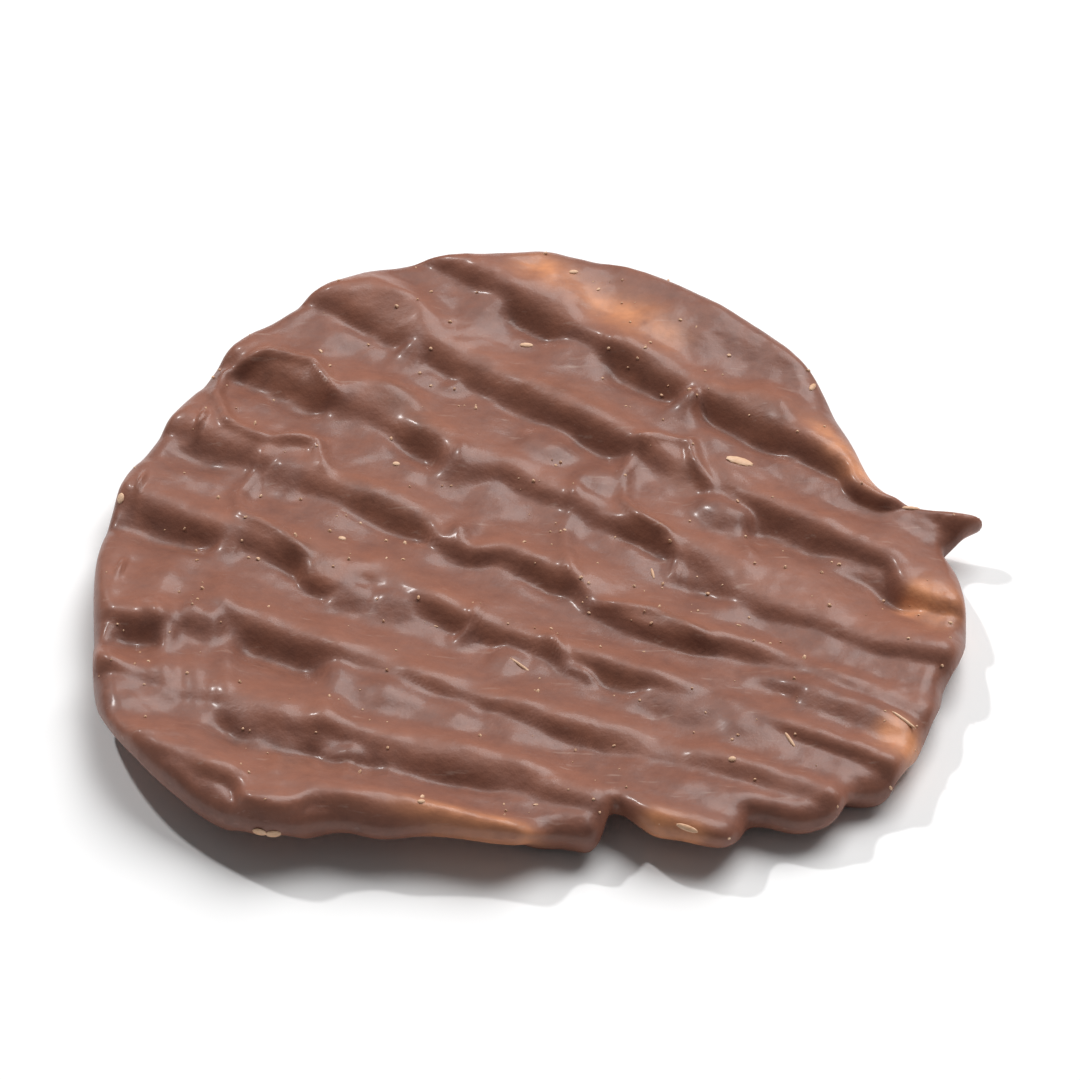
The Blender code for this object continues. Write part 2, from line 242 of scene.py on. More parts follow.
HOLLOWS = (
    (-19.0, 18.8, 3.9, 2.0, -1.6, -4),
    (-12.1, 25.4, 2.8, 1.3, -0.9, 0),
    (-4.8, 20.4, 3.6, 1.3, -0.8, 0),
    (-0.4, 16.4, 2.0, 1.3, -0.6, 0),
    (-9.2, 14.0, 4.2, 1.5, -1.9, -30),
    (-11.4, 4.8, 4.6, 1.3, -1.7, -6),
    (-25.5, 10.2, 2.4, 1.3, -0.8, 12),
    (-28.2, 1.9, 3.8, 1.3, -1.0, 10),
    (-17.0, -1.4, 2.8, 1.3, -1.7, -14),
    (-10.6, -3.2, 2.6, 1.2, -0.5, 0),
    (-5.8, -7.1, 1.5, 1.0, -1.2, -20),
    (-3.0, -8.6, 1.2, 0.9, -0.8, 0),
    (-29.7, -9.8, 1.9, 1.3, -1.0, 10),
    (-25.4, -9.4, 1.4, 1.3, -0.6, 0),
    (-19.0, -11.2, 3.2, 1.4, -1.3, -8),
    (-17.6, -21.4, 2.0, 1.3, -1.2, 20),
    (-14.6, -22.6, 4.8, 1.1, -1.1, 24),
    (-5.6, -23.6, 3.4, 1.1, -0.7, 6),
    (0.4, 25.9, 2.4, 1.3, -1.1, 0),
    (9.0, 19.8, 3.4, 1.7, -1.7, 6),
    (17.0, 14.6, 3.8, 2.0, -1.8, 6),
    (12.2, 16.9, 0.9, 1.6, 0.8, 0),
    (22.6, 9.4, 2.6, 1.1, -0.4, 0),
    (5.0, 11.8, 2.0, 1.2, -0.5, 0),
    (3.4, 16.4, 3.2, 2.0, -1.0, 0),
    (12.0, 8.2, 1.7, 1.5, -1.3, -26),
    (8.9, 1.9, 2.2, 1.1, -1.3, -4),
    (19.4, 1.2, 3.4, 1.3, -0.8, 2),
    (26.0, -4.4, 3.2, 1.1, -0.7, 2),
    (12.8, -4.2, 2.4, 0.9, -0.5, 4),
    (11.0, -8.8, 3.4, 0.9, -1.2, 0),
    (6.5, -14.1, 1.8, 0.9, -1.3, 0),
    (0.2, -9.4, 1.6, 1.1, -0.6, 0),
    (18.0, -15.2, 1.8, 1.0, -0.6, 4),
    (5.8, -19.7, 2.6, 1.1, -0.6, 8),
    (1.0, -2.6, 2.2, 1.1, -0.9, -10),
    (-9.0, 22.6, 1.2, 1.5, 0.7, 0),
    (-14.6, 17.0, 1.2, 1.5, 0.6, 0),
    (-5.6, 9.0, 1.4, 1.8, 0.5, 0),
    (0.8, 11.2, 2.0, 1.8, 0.5, 0),
    (-18.6, 8.8, 1.6, 1.8, 1.0, 0),
    (-5.2, 1.6, 1.0, 1.6, 0.8, 0),
    (-13.6, -4.4, 1.5, 1.8, 0.9, 0),
    (-22.6, 1.6, 1.0, 1.8, 0.8, 0),
    (-10.2, -5.4, 2.0, 1.6, 0.8, 0),
    (-4.5, -8.3, 0.7, 1.4, 0.7, 0),
    (-25.0, -8.2, 1.8, 2.4, 1.3, 0),
    (-12.6, -14.4, 2.6, 2.4, 0.5, 0),
    (-8.0, -16.6, 4.0, 2.0, 0.5, 0),
    (-29.6, -15.0, 2.6, 2.2, 0.2, 0),
    (-27.4, -22.4, 3.6, 2.2, 0.55, 0),
    (-2.0, -11.6, 1.2, 1.5, 0.5, 0),
    (14.6, 4.0, 2.4, 1.9, 0.8, 0),
    (12.0, 13.6, 4.6, 1.6, 0.3, 0),
    (5.0, 7.4, 1.8, 1.8, 0.7, 0),
    (24.0, -10.6, 6.0, 2.0, 0.3, 0),
    (13.0, -17.0, 6.0, 2.2, 0.5, 0),
    (14.0, -25.4, 7.0, 1.8, 0.4, 0),
    (-19.0, -16.2, 2.6, 2.2, 0.3, 0),
    (23.0, -16.4, 7.4, 1.6, 0.9, 0),
    (13.5, 27.0, 8.0, 3.0, 0.25, 0),
    (-21.4, -19.6, 2.6, 1.3, -1.1, -12),
)
SADDLES = (
    (11.6, 7.4, 4.4, 3.4, -0.7, -8),
    (-23.4, 8.0, 1.8, 2.4, -0.5, 0),
    (-12.8, -13.6, 2.4, 2.8, -0.5, 0),
    (-26.4, -13.2, 4.6, 3.4, -0.6, 0),
    (22.0, -14.6, 8.0, 4.4, -0.6, 0),
    (14.0, -24.0, 10.0, 5.0, -0.50, 0),
    (3.0, 4.0, 3.0, 4.0, -0.35, 0),
    (22.0, 1.6, 6.0, 3.0, -0.22, 0),
    (13.5, 27.4, 10.0, 3.6, -0.95, 0),
)
LIP_LINES = (
    (0.55, 0.55, ((-15.0, 16.6), (-17.0, 20.8), (-20.4, 22.0), (-24.0, 20.6), (-24.5, 17.6), (-23.4, 14.0))),
    (0.55, 0.55, ((-23.4, 14.0), (-20.8, 12.1), (-16.5, 12.0), (-15.8, 8.8))),
    (0.55, 0.60, ((-20.6, 10.4), (-22.5, 6.6), (-22.1, 3.7), (-19.2, 1.8), (-17.2, -0.8))),
    (0.36, 1.20, ((-26.6, 1.0), (-28.2, -5.0), (-27.9, -10.0))),
    (0.50, 1.05, ((-23.4, -3.0), (-22.6, -9.5), (-22.9, -15.6))),
    (0.45, 1.00, ((-22.9, -15.6), (-20.8, -19.6), (-17.2, -20.6))),
    (0.42, 1.00, ((-15.6, -19.6), (-14.9, -15.0), (-14.4, -10.6))),
    (0.48, 1.05, ((-28.0, -6.0), (-27.4, -11.6), (-26.9, -15.4))),
    (0.36, 0.95, ((-25.2, -10.4), (-25.0, -16.4))),
    (0.30, 0.70, ((-31.0, -21.6), (-29.0, -19.4), (-25.4, -19.0))),
    (0.44, 0.90, ((-24.0, -22.6), (-21.6, -26.4), (-18.6, -27.4))),
    (0.40, 0.70, ((-18.6, -20.8), (-18.8, -23.6))),
    (0.45, 0.75, ((-13.2, -20.0), (-13.7, -24.0))),
    (0.32, 0.65, ((-10.4, -21.0), (-10.6, -23.8))),
    (0.50, 0.50, ((12.4, 12.0), (10.0, 12.5), (8.3, 11.9), (7.2, 9.0), (7.0, 5.6), (8.3, 3.2), (10.2, 1.9))),
    (0.50, 0.50, ((10.2, 1.9), (11.2, -0.4), (10.9, -2.6))),
    (0.50, 0.50, ((12.2, 12.2), (12.6, 9.6), (13.8, 7.2))),
    (0.50, 0.60, ((2.4, 3.4), (3.0, -2.6), (4.6, -5.8), (9.4, -6.8), (13.2, -9.8))),
    (0.40, 0.55, ((3.6, 8.0), (3.0, 3.4))),
    (0.50, 0.55, ((1.4, -9.0), (2.4, -11.8), (5.0, -13.4), (8.0, -14.8))),
    (0.36, 0.55, ((16.5, 4.6), (15.9, 2.2), (16.8, -0.6))),
    (0.36, 0.50, ((12.6, 17.8), (12.2, 15.0))),
    (0.36, 0.50, ((6.1, 23.4), (5.8, 20.6))),
    (0.36, 0.50, ((-5.4, 20.0), (-6.4, 18.6))),
    (0.30, 0.50, ((-5.2, 11.4), (-5.6, 9.0))),
    (0.36, 0.50, ((-5.8, 3.0), (-5.2, 0.4))),
    (0.36, 0.50, ((-3.9, -5.6), (-4.6, -8.4))),
    (0.50, 1.30, ((-25.7, 14.3), (-25.3, 14.2))),
    (0.40, 1.20, ((-30.1, 7.4), (-29.7, 7.3))),
    (0.40, 1.10, ((-31.2, -1.6), (-30.8, -1.7))),
)
THIN_PLACES = (
    (0.9, 32.0, 2.6, 1.6, 0.8, 0),
    (7.4, 27.0, 5.0, 1.8, 0.8, 0),
    (24.0, 10.6, 4.6, 1.0, 0.8, -22),
    (30.2, -5.4, 2.4, 1.6, 1.1, 0),
    (27.6, -19.6, 2.4, 1.6, 0.9, -10),
    (-3.0, -28.2, 7.0, 0.9, 0.6, 8),
    (10.4, -28.4, 2.8, 1.0, 0.8, 0),
    (-19.4, -31.6, 1.2, 0.8, 0.8, 0),
)
LIP_SEEN_SHIFT = 0.1
HOLLOW_SEEN_SHIFT = 0.6
LIP_STRETCH_SHARE = 0.55
MARK_SIZES = ("half_length", "half_width", "height", "turn")
print("tables of", len(BENDS), "bends,", len(HOLLOWS), "hollows and pools,", len(SADDLES), "saddles")
print("and", len(LIP_LINES), "lips,", len(THIN_PLACES), "thin places")

# %% Marks as points
FAN_POINT = (151.5, -85.4)
CURL_ACROSS = 0.0020
CURL_ALONG = 0.0006


def laid_flat(x, y, seen_shift):
    """Where a place that was seen from the camera lies on the slice's plan."""
    turn = math.atan2(FAN_POINT[1], FAN_POINT[0])
    along = x * math.cos(turn) + y * math.sin(turn)
    across = y * math.cos(turn) - x * math.sin(turn)
    return x, y + seen_shift - CURL_ACROSS * across ** 2 - CURL_ALONG * along ** 2


def fan_direction(x, y):
    """The way that the ridges run at a place, in radians."""
    return -math.atan2(y - FAN_POINT[1], FAN_POINT[0] - x)


def lip_rows(height, half_width, points):
    """Turns a drawn lip into one mark for each of its stretches."""
    rows = []
    for (start_x, start_y), (end_x, end_y) in zip(points, points[1:]):
        middle_x, middle_y = 0.5 * (start_x + end_x), 0.5 * (start_y + end_y)
        half_length = LIP_STRETCH_SHARE * math.hypot(end_x - start_x, end_y - start_y)
        way = math.atan2(end_y - start_y, end_x - start_x)
        turn = math.degrees(way - fan_direction(middle_x, middle_y))
        rows.append((middle_x, middle_y, half_length, half_width, height, turn))
    return rows


def marks_object(name, rows, seen_shift):
    """One point for each mark, with its sizes as attributes."""
    mesh = bpy.data.meshes.new(name)
    mesh.from_pydata([(*laid_flat(row[0], row[1], seen_shift), 0.0) for row in rows], [], [])
    for column, label in enumerate(MARK_SIZES, start=2):
        values = mesh.attributes.new(label, "FLOAT", "POINT")
        for item, row in zip(values.data, rows):
            item.value = math.radians(row[column]) if label == "turn" else row[column]
    marks = bpy.data.objects.new(name, mesh)
    bpy.context.scene.collection.objects.link(marks)
    return marks


lip_marks = [row for lip in LIP_LINES for row in lip_rows(*lip)]
mark_tables = {
    "Bends": marks_object("bend_marks", BENDS, LIP_SEEN_SHIFT),
    "Hollows": marks_object("hollow_marks", HOLLOWS, HOLLOW_SEEN_SHIFT),
    "Saddles": marks_object("saddle_marks", SADDLES, LIP_SEEN_SHIFT),
    "Lips": marks_object("lip_marks", lip_marks, LIP_SEEN_SHIFT),
    "Thin Places": marks_object("thin_marks", THIN_PLACES, LIP_SEEN_SHIFT),
}
print("marks in all:", sum(len(marks.data.vertices) for marks in mark_tables.values()))

# %% [markdown]
# ## Adding up the marks
# A Repeat Zone goes through the points one at a time. For each, it turns the distance from the mark into a
# length along the ridges and a length across them, and adds one soft bump to a running sum. The bump is flat
# along its length and falls away quickly at its ends, which suits a drained trough. One group serves all
# five tables.

# %% Group that adds up marks
marks_tree, marks_in, marks_out = new_tree(
    "Sum of marks",
    "GeometryNodeTree",
    [("Marks", GEOMETRY, None)] + [(label, FLOAT, 0.0) for label in ("X", "Y", "Fan X", "Fan Y")],
    [("Sum", FLOAT)],
)
marks_count = add_node(marks_tree, "GeometryNodeAttributeDomainSize", {0: marks_in.outputs["Marks"]})
each_mark = marks_tree.nodes.new("GeometryNodeRepeatInput")
after_marks = marks_tree.nodes.new("GeometryNodeRepeatOutput")
each_mark.pair_with_output(after_marks)
after_marks.repeat_items.clear()
after_marks.repeat_items.new("FLOAT", "Sum")
plug(marks_tree, marks_count.outputs["Point Count"], each_mark.inputs["Iterations"])
this_mark = each_mark.outputs["Iteration"]


def of_this_mark(label):
    """One of the current mark's sizes."""
    reading = add_node(marks_tree, "GeometryNodeInputNamedAttribute", {"Name": label}, data_type="FLOAT")
    pick = add_node(
        marks_tree,
        "GeometryNodeSampleIndex",
        {0: marks_in.outputs["Marks"], 1: reading.outputs["Attribute"], "Index": this_mark},
        data_type="FLOAT",
    )
    return Field(pick.outputs[0])


mark_place = add_node(
    marks_tree,
    "GeometryNodeSampleIndex",
    {
        0: marks_in.outputs["Marks"],
        1: marks_tree.nodes.new("GeometryNodeInputPosition").outputs[0],
        "Index": this_mark,
    },
    data_type="FLOAT_VECTOR",
)
mark_xyz = add_node(marks_tree, "ShaderNodeSeparateXYZ", {0: mark_place.outputs[0]})
mark_x, mark_y = Field(mark_xyz.outputs["X"]), Field(mark_xyz.outputs["Y"])
fan_back = Field(marks_in.outputs["Fan X"]) - mark_x
fan_up = mark_y - Field(marks_in.outputs["Fan Y"])
mark_angle = of_this_mark("turn") - fan_up.math("ARCTAN2", fan_back)
from_x = Field(marks_in.outputs["X"]) - mark_x
from_y = Field(marks_in.outputs["Y"]) - mark_y
cosine, sine = mark_angle.math("COSINE"), mark_angle.math("SINE")
lengthwise = (from_x * cosine + from_y * sine) / of_this_mark("half_length")
crosswise = (from_y * cosine - from_x * sine) / of_this_mark("half_width")
long_square = lengthwise * lengthwise
bump = of_this_mark("height") * (-(long_square * long_square) - crosswise * crosswise).math("EXPONENT")
plug(marks_tree, Field(each_mark.outputs["Sum"]) + bump, after_marks.inputs["Sum"])
plug(marks_tree, after_marks.outputs["Sum"], marks_out.inputs["Sum"])
print("marks group has", len(marks_tree.nodes), "nodes")

# %% [markdown]
# ## The crisp's tree
# The tree starts from the rim loop. A square grid is bent into a disc, and the disc is stretched out to the
# rim, which gives even four-sided faces with no pole in the middle. Two copies of that flat sheet become the
# shown side and the underside. Their heights come from the formulas that shape the CAD solid, with finer
# marks added, and they meet at the rim, where the thickness closes in a rounded edge.
# The named inputs are the crisp's real measures in millimetres, so any of them can be changed on its own.

# %% Inputs of the crisp's tree
CRISP_SIZES = {
    "Fan X": FAN_POINT[0],
    "Fan Y": FAN_POINT[1],
    "First Slope Angle": 36.3,
    "Ridge Angle": 2.48,
    "Ridge Height": 0.95,
    "Ridge Variation": 0.55,
    "Steepness": 0.55,
    "Crest Breadth": 0.15,
    "Wander": 0.05,
    "Half Thickness": 1.25,
    "Curl Across": CURL_ACROSS,
    "Curl Along": CURL_ALONG,
    "Pool Level": -0.10,
    "Pool Swell": 0.62,
    "Hollow Depth": 1.25,
    "Pool Softness": 0.35,
    "Underside Fill": 0.6,
    "Rim Rounding": 1.6,
    "Foot Depth": 1.0,
    "Lump Height": 0.11,
    "Ripple Height": 0.22,
    "Wrinkle Height": 0.12,
    "Grain Height": 0.05,
}
CELLS_ALONG = 190
CELLS_ACROSS = 254
crisp_tree, crisp_in, crisp_out = new_tree(
    "Coated crisp",
    "GeometryNodeTree",
    [("Geometry", GEOMETRY, None)]
    + [(label, FLOAT, size) for label, size in CRISP_SIZES.items()]
    + [
        ("Bends", "NodeSocketObject", None),
        ("Hollows", "NodeSocketObject", None),
        ("Saddles", "NodeSocketObject", None),
        ("Lips", "NodeSocketObject", None),
        ("Thin Places", "NodeSocketObject", None),
        ("Seed", FLOAT, 7.0),
        ("Material", "NodeSocketMaterial", None),
    ],
    [("Geometry", GEOMETRY)],
)


def crisp_size(label):
    """One of the tree's named sizes."""
    return Field(crisp_in.outputs[label])


print("tree has", len(CRISP_SIZES), "sizes")

# %% [markdown]
# ## A flat sheet that fills the rim
# A disc could be cut from a grid, but its edge would be jagged, or built from rings, but they crowd at the
# middle. Squeezing each grid line into an ellipse turns the square into a disc with neither fault. The rings
# near the edge are then drawn closer together, because the edge is where the surface turns most. The whole
# grid is turned so that its rows run along the ridges, with more cells across the ridges than along them.

# %% Flat sheet
grid = add_node(
    crisp_tree,
    "GeometryNodeMeshGrid",
    {"Size X": 2.0, "Size Y": 2.0, "Vertices X": CELLS_ALONG + 1, "Vertices Y": CELLS_ACROSS + 1},
)
grid_place = crisp_tree.nodes.new("GeometryNodeInputPosition")
grid_xyz = add_node(crisp_tree, "ShaderNodeSeparateXYZ", {0: grid_place.outputs[0]})
grid_x, grid_y = Field(grid_xyz.outputs["X"]), Field(grid_xyz.outputs["Y"])
disc_x = grid_x * (1.0 - grid_y * grid_y * 0.5).math("SQRT")
disc_y = grid_y * (1.0 - grid_x * grid_x * 0.5).math("SQRT")
disc_radius = (disc_x * disc_x + disc_y * disc_y).math("SQRT")
EDGE_CROWDING = 0.55
crowded = (disc_radius * (0.5 * math.pi)).math("SINE") * EDGE_CROWDING + disc_radius * (1.0 - EDGE_CROWDING)
fan_turn = crisp_size("Fan Y").math("ARCTAN2", crisp_size("Fan X"))
way_round = ((disc_y.math("ARCTAN2", disc_x) + fan_turn) / (2.0 * math.pi)).math("FRACT")
rim_curve = add_node(crisp_tree, "GeometryNodeMeshToCurve", {0: crisp_in.outputs["Geometry"]})
on_rim = add_node(
    crisp_tree,
    "GeometryNodeSampleCurve",
    {"Curves": rim_curve.outputs[0], "Factor": way_round},
    mode="FACTOR",
)
sheet_place = add_node(
    crisp_tree, "ShaderNodeVectorMath", {0: on_rim.outputs["Position"], "Scale": crowded}, operation="SCALE"
)
flat_sheet = add_node(
    crisp_tree,
    "GeometryNodeSetPosition",
    {"Geometry": grid.outputs["Mesh"], "Position": sheet_place.outputs[0]},
)
print("sheet of", CELLS_ALONG * CELLS_ACROSS, "faces")

# %% [markdown]
# ## Ridges that spread like a fan
# The blade cuts straight, evenly spaced grooves, but the slice shrank and curled in the fryer, so the ridges
# now spread slightly, as if from one far point. The angle seen from that point counts the ridges, and a sine
# of the count makes the wave. On the shown side part of that sine goes back into its own angle, which makes
# the slopes towards the viewer steep and the others gentle, as in the photograph. The underside keeps the
# even wave. A slow noise makes the lines wander, as no fried slice is quite regular.

# %% Ridge wave
place = crisp_tree.nodes.new("GeometryNodeInputPosition")
place_xyz = add_node(crisp_tree, "ShaderNodeSeparateXYZ", {0: place.outputs[0]})
x, y = Field(place_xyz.outputs["X"]), Field(place_xyz.outputs["Y"])
TURN = 2.0 * math.pi


def noise(scale, shift, detail=1.0):
    """A smooth noise between about minus one and one; scale is in cycles per millimetre."""
    spot = add_node(
        crisp_tree,
        "ShaderNodeCombineXYZ",
        {"X": x, "Y": y, "Z": crisp_size("Seed") + shift},
    )
    texture = add_node(
        crisp_tree,
        "ShaderNodeTexNoise",
        {"Vector": spot.outputs[0], "Scale": scale, "Detail": detail, "Roughness": 0.5},
    )
    return (Field(texture.outputs[0]) - 0.5) * 2.0


def sum_of_marks_in(label):
    """The marks of one of the tree's tables, added up at each point."""
    marks = add_node(crisp_tree, "GeometryNodeObjectInfo", {"Object": crisp_in.outputs[label]})
    total = add_node(crisp_tree, "GeometryNodeGroup", node_tree=marks_tree)
    values = (marks.outputs["Geometry"], x, y, crisp_size("Fan X"), crisp_size("Fan Y"))
    for value, socket in zip(values, total.inputs):
        plug(crisp_tree, value, socket)
    return Field(total.outputs["Sum"])


back = crisp_size("Fan X") - x
up = y - crisp_size("Fan Y")
fan_x, fan_y = crisp_size("Fan X"), crisp_size("Fan Y")
fan_reach = (fan_x * fan_x + fan_y * fan_y).math("SQRT")
along = fan_reach - (back * back + up * up).math("SQRT")
slope_angle = up.math("ARCTAN2", back) * math.degrees(1.0)
count = (crisp_size("First Slope Angle") - slope_angle) / crisp_size("Ridge Angle")
wander = noise(0.09, 40.0) + noise(0.22, 50.0) * 0.6
phase = (count + wander * crisp_size("Wander") + sum_of_marks_in("Bends")) * TURN
even_swing = -phase.math("SINE")
swing = -(phase - even_swing * crisp_size("Steepness")).math("SINE")
RIDGE_PITCH = 7.5
print("about", round((RIM_RADII[6] + RIM_RADII[18]) / RIDGE_PITCH, 1), "ridges across")

# %% [markdown]
# ## Coat, curl and thickness
# The coat's surface is the higher of two surfaces: the ridges themselves, and a wavy level where the
# chocolate stands in the troughs. A plain maximum would leave a sharp line where they meet, so a square root
# rounds it. Hollows lower the standing level. Lumps, ripples, fine wrinkles and lips are added on top of
# both. One more term in the wave rounds the crests and leaves the troughs narrow.

# %% Heights of the two sides
def higher(first, second, softness):
    """The higher of two surfaces, with the crease between them rounded."""
    gap = first - second
    return (first + second + (gap * gap + softness * softness).math("SQRT")) * 0.5


variation = noise(0.12, 60.0) * crisp_size("Ridge Variation")
saddle_share = (1.0 + sum_of_marks_in("Saddles") + variation).math("MAXIMUM", 0.15)
crest_height = crisp_size("Ridge Height") * saddle_share
wave = crest_height * (swing + crisp_size("Crest Breadth") * (1.0 - swing * swing))
even_wave = crest_height * (even_swing + crisp_size("Crest Breadth") * (1.0 - even_swing * even_swing))
softness = crisp_size("Pool Softness")
swell = noise(0.16, 20.0) * crisp_size("Pool Swell")
hollows = sum_of_marks_in("Hollows")
level = crisp_size("Pool Level") + swell + hollows * crisp_size("Hollow Depth")
lumps = (x / 3.3 - y / 2.7 + 1.0).math("SINE") * crisp_size("Lump Height")
ripples = noise(0.22, 3.0) * crisp_size("Ripple Height")
wrinkles = noise(0.42, 30.0) * crisp_size("Wrinkle Height") + noise(0.9, 9.0) * crisp_size("Grain Height")
relief = lumps + ripples + wrinkles + sum_of_marks_in("Lips")
coat = higher(wave, level, softness) + crisp_size("Half Thickness") + relief
fill = crisp_size("Underside Fill") * crisp_size("Ridge Height")
underside = -higher(-even_wave, -fill, softness) - crisp_size("Half Thickness")

lengthways = x * fan_turn.math("COSINE") + y * fan_turn.math("SINE")
crossways = y * fan_turn.math("COSINE") - x * fan_turn.math("SINE")
curl = crisp_size("Curl Across") * crossways * crossways + crisp_size("Curl Along") * lengthways * lengthways
print("crisp tree has", len(crisp_tree.nodes), "nodes so far")

# %% [markdown]
# ## Closing the edge
# At the rim both sides come together. The distance to the rim, measured by Geometry Proximity, drives a
# quarter circle: no thickness at the rim itself, and full thickness a little way in. On the underside the
# lowest ridges have set flat against the tray, so heights below the tray are lifted to it.

# %% Two sides joined at the rim
to_rim = add_node(
    crisp_tree, "GeometryNodeProximity", {0: crisp_in.outputs["Geometry"]}, target_element="EDGES"
)
inward = 1.0 - (Field(to_rim.outputs["Distance"]) / crisp_size("Rim Rounding")).math("MINIMUM", 1.0)
closing = (1.0 - inward * inward).math("MAXIMUM", 0.0).math("SQRT")
TRAY_LEVEL = -2.4
tray = crisp_size("Foot Depth") + TRAY_LEVEL
middle = (coat + underside) * 0.5
top_height = curl + middle + (coat - middle) * closing
bottom_height = (curl + middle + (underside - middle) * closing).math("MAXIMUM", tray)


def with_attribute(sheet, label, value):
    """The sheet with one more number stored at each point."""
    node = add_node(
        crisp_tree,
        "GeometryNodeStoreNamedAttribute",
        {"Geometry": sheet.outputs[0], "Name": label, "Value": value},
        data_type="FLOAT",
        domain="POINT",
    )
    return node


thin_sheet = with_attribute(flat_sheet, "thin_coat", sum_of_marks_in("Thin Places"))
# The hollow depth is kept for the chocolate material, which paints shade into the hollows with it.
hollow_sheet = with_attribute(thin_sheet, "hollow", -hollows)
marked_sheet = with_attribute(hollow_sheet, "above_pool", wave - level)


def raised(sheet, height):
    """A copy of the sheet, each point lifted to its height."""
    lift = add_node(crisp_tree, "ShaderNodeCombineXYZ", {"Z": height})
    return add_node(crisp_tree, "GeometryNodeSetPosition", {"Geometry": sheet, "Offset": lift.outputs[0]})


turned_sheet = add_node(crisp_tree, "GeometryNodeFlipFaces", {0: marked_sheet.outputs[0]})
shown_side = raised(marked_sheet.outputs[0], top_height)
hidden_side = raised(turned_sheet.outputs[0], bottom_height)
both_sides = crisp_tree.nodes.new("GeometryNodeJoinGeometry")
crisp_tree.links.new(shown_side.outputs[0], both_sides.inputs[0])
crisp_tree.links.new(hidden_side.outputs[0], both_sides.inputs[0])
WELD_DISTANCE = 0.002
welded = add_node(
    crisp_tree,
    "GeometryNodeMergeByDistance",
    {"Geometry": both_sides.outputs[0], "Distance": WELD_DISTANCE},
)
in_metres = add_node(
    crisp_tree, "GeometryNodeTransform", {"Geometry": welded.outputs[0], "Scale": (MM, MM, MM)}
)
smoothed = add_node(crisp_tree, "GeometryNodeSetShadeSmooth", {"Geometry": in_metres.outputs[0]})
realized = add_node(crisp_tree, "GeometryNodeRealizeInstances", {"Geometry": smoothed.outputs[0]})
coloured = add_node(
    crisp_tree,
    "GeometryNodeSetMaterial",
    {"Geometry": realized.outputs[0], "Material": crisp_in.outputs["Material"]},
)
plug(crisp_tree, coloured.outputs[0], crisp_out.inputs[0])
print("crisp tree has", len(crisp_tree.nodes), "nodes")

# %% [markdown]
# ## Mottling, shared by two finishes
# Neither chocolate nor fried potato has one flat colour: both are speckled by tiny darker grains. The same
# effect serves both materials, so it is a node group of its own, with the two colours, the size of the grains
# and their strength as inputs. It reads Object coordinates, so the grains stay with the mesh.

# %% Mottle group
def shader_noise(tree, scale, detail=3.0, roughness=0.55, stretch=None):
    """A noise on the mesh's own coordinates; scale is in cycles per metre."""
    spot = add_node(tree, "ShaderNodeTexCoord").outputs["Object"]
    if stretch is not None:
        rotation, scales = stretch
        turned = add_node(tree, "ShaderNodeMapping", {"Vector": spot, "Rotation": rotation, "Scale": scales})
        spot = turned.outputs["Vector"]
    inputs = {"Vector": spot, "Scale": scale, "Detail": detail, "Roughness": roughness}
    return Field(add_node(tree, "ShaderNodeTexNoise", inputs).outputs[0])


def mixed(tree, share, first, second):
    """A colour between two colours."""
    mix = add_node(tree, "ShaderNodeMix", data_type="RGBA")
    plug(tree, share, mix.inputs[0])
    plug(tree, first, mix.inputs[6])
    plug(tree, second, mix.inputs[7])
    return mix.outputs[2]


def clamped(value, low, high):
    """A field held between two values."""
    return value.math("MAXIMUM", low).math("MINIMUM", high)


COLOUR = "NodeSocketColor"
mottle_tree, mottle_in, mottle_out = new_tree(
    "Mottle",
    "ShaderNodeTree",
    [
        ("Colour", COLOUR, None),
        ("Grain Colour", COLOUR, None),
        ("Grains per Metre", FLOAT, 700.0),
        ("Amount", FLOAT, 0.2),
    ],
    [("Colour", COLOUR)],
)
grain_noise = shader_noise(mottle_tree, mottle_in.outputs["Grains per Metre"], 4.0, 0.7)
grain_share = clamped(grain_noise * 2.4 - 0.7, 0.0, 1.0) * Field(mottle_in.outputs["Amount"])
plug(
    mottle_tree,
    mixed(mottle_tree, grain_share, mottle_in.outputs["Colour"], mottle_in.outputs["Grain Colour"]),
    mottle_out.inputs["Colour"],
)


def mottled(tree, colour, grain_colour, grains_per_metre, amount):
    """A colour speckled by the shared group."""
    group = add_node(tree, "ShaderNodeGroup", node_tree=mottle_tree)
    for value, socket in zip((colour, grain_colour, grains_per_metre, amount), group.inputs):
        plug(tree, value, socket)
    return group.outputs["Colour"]


print("mottle group has", len(mottle_tree.nodes), "nodes")

# %% [markdown]
# ## Milk chocolate
# Set milk chocolate is satin: smooth enough for soft bright streaks, but never a mirror. Shade is painted
# into
# its colour: it turns much darker in the deep hollows, standing in for the shadow on the slopes that face
# away from the light, and a little darker in the low pools. It is warmer on a crest where the coat is thin,
# and tan where the fried potato shows through. Cocoa butter leaves faint pale specks of bloom, and handling
# leaves fine light scratches along the ridges. The crisp's tree stored how thin the coat is, how deep each
# hollow is and how far each point stands over the pools, and these set the tan places, the painted shade and
# the warm crests.

# %% Milk chocolate material
CHOCOLATE = (0.203, 0.081, 0.055, 1.0)
# A near-black brown with two uses: the colour of the tiny dark grains, and painted shade in the hollows and
# low pools.
GRAIN_AND_PAINTED_SHADE_BROWN = (0.040, 0.014, 0.010, 1.0)
WARM_CHOCOLATE = (0.390, 0.150, 0.088, 1.0)
TAN_COAT = (0.660, 0.272, 0.125, 1.0)
BLOOM = (0.500, 0.360, 0.300, 1.0)
RIDGE_TURN = math.atan2(FAN_POINT[1], FAN_POINT[0])
ALONG_RIDGES = ((0.0, 0.0, -RIDGE_TURN), (0.16, 1.0, 1.0))
chocolate = bpy.data.materials.new("milk_chocolate_coat")
chocolate.use_nodes = True
shader_tree = chocolate.node_tree
surface = shader_tree.nodes["Principled BSDF"]


def stored(tree, label):
    """An attribute that the crisp's tree stored on its mesh."""
    return Field(add_node(tree, "ShaderNodeAttribute", attribute_name=label).outputs["Fac"])


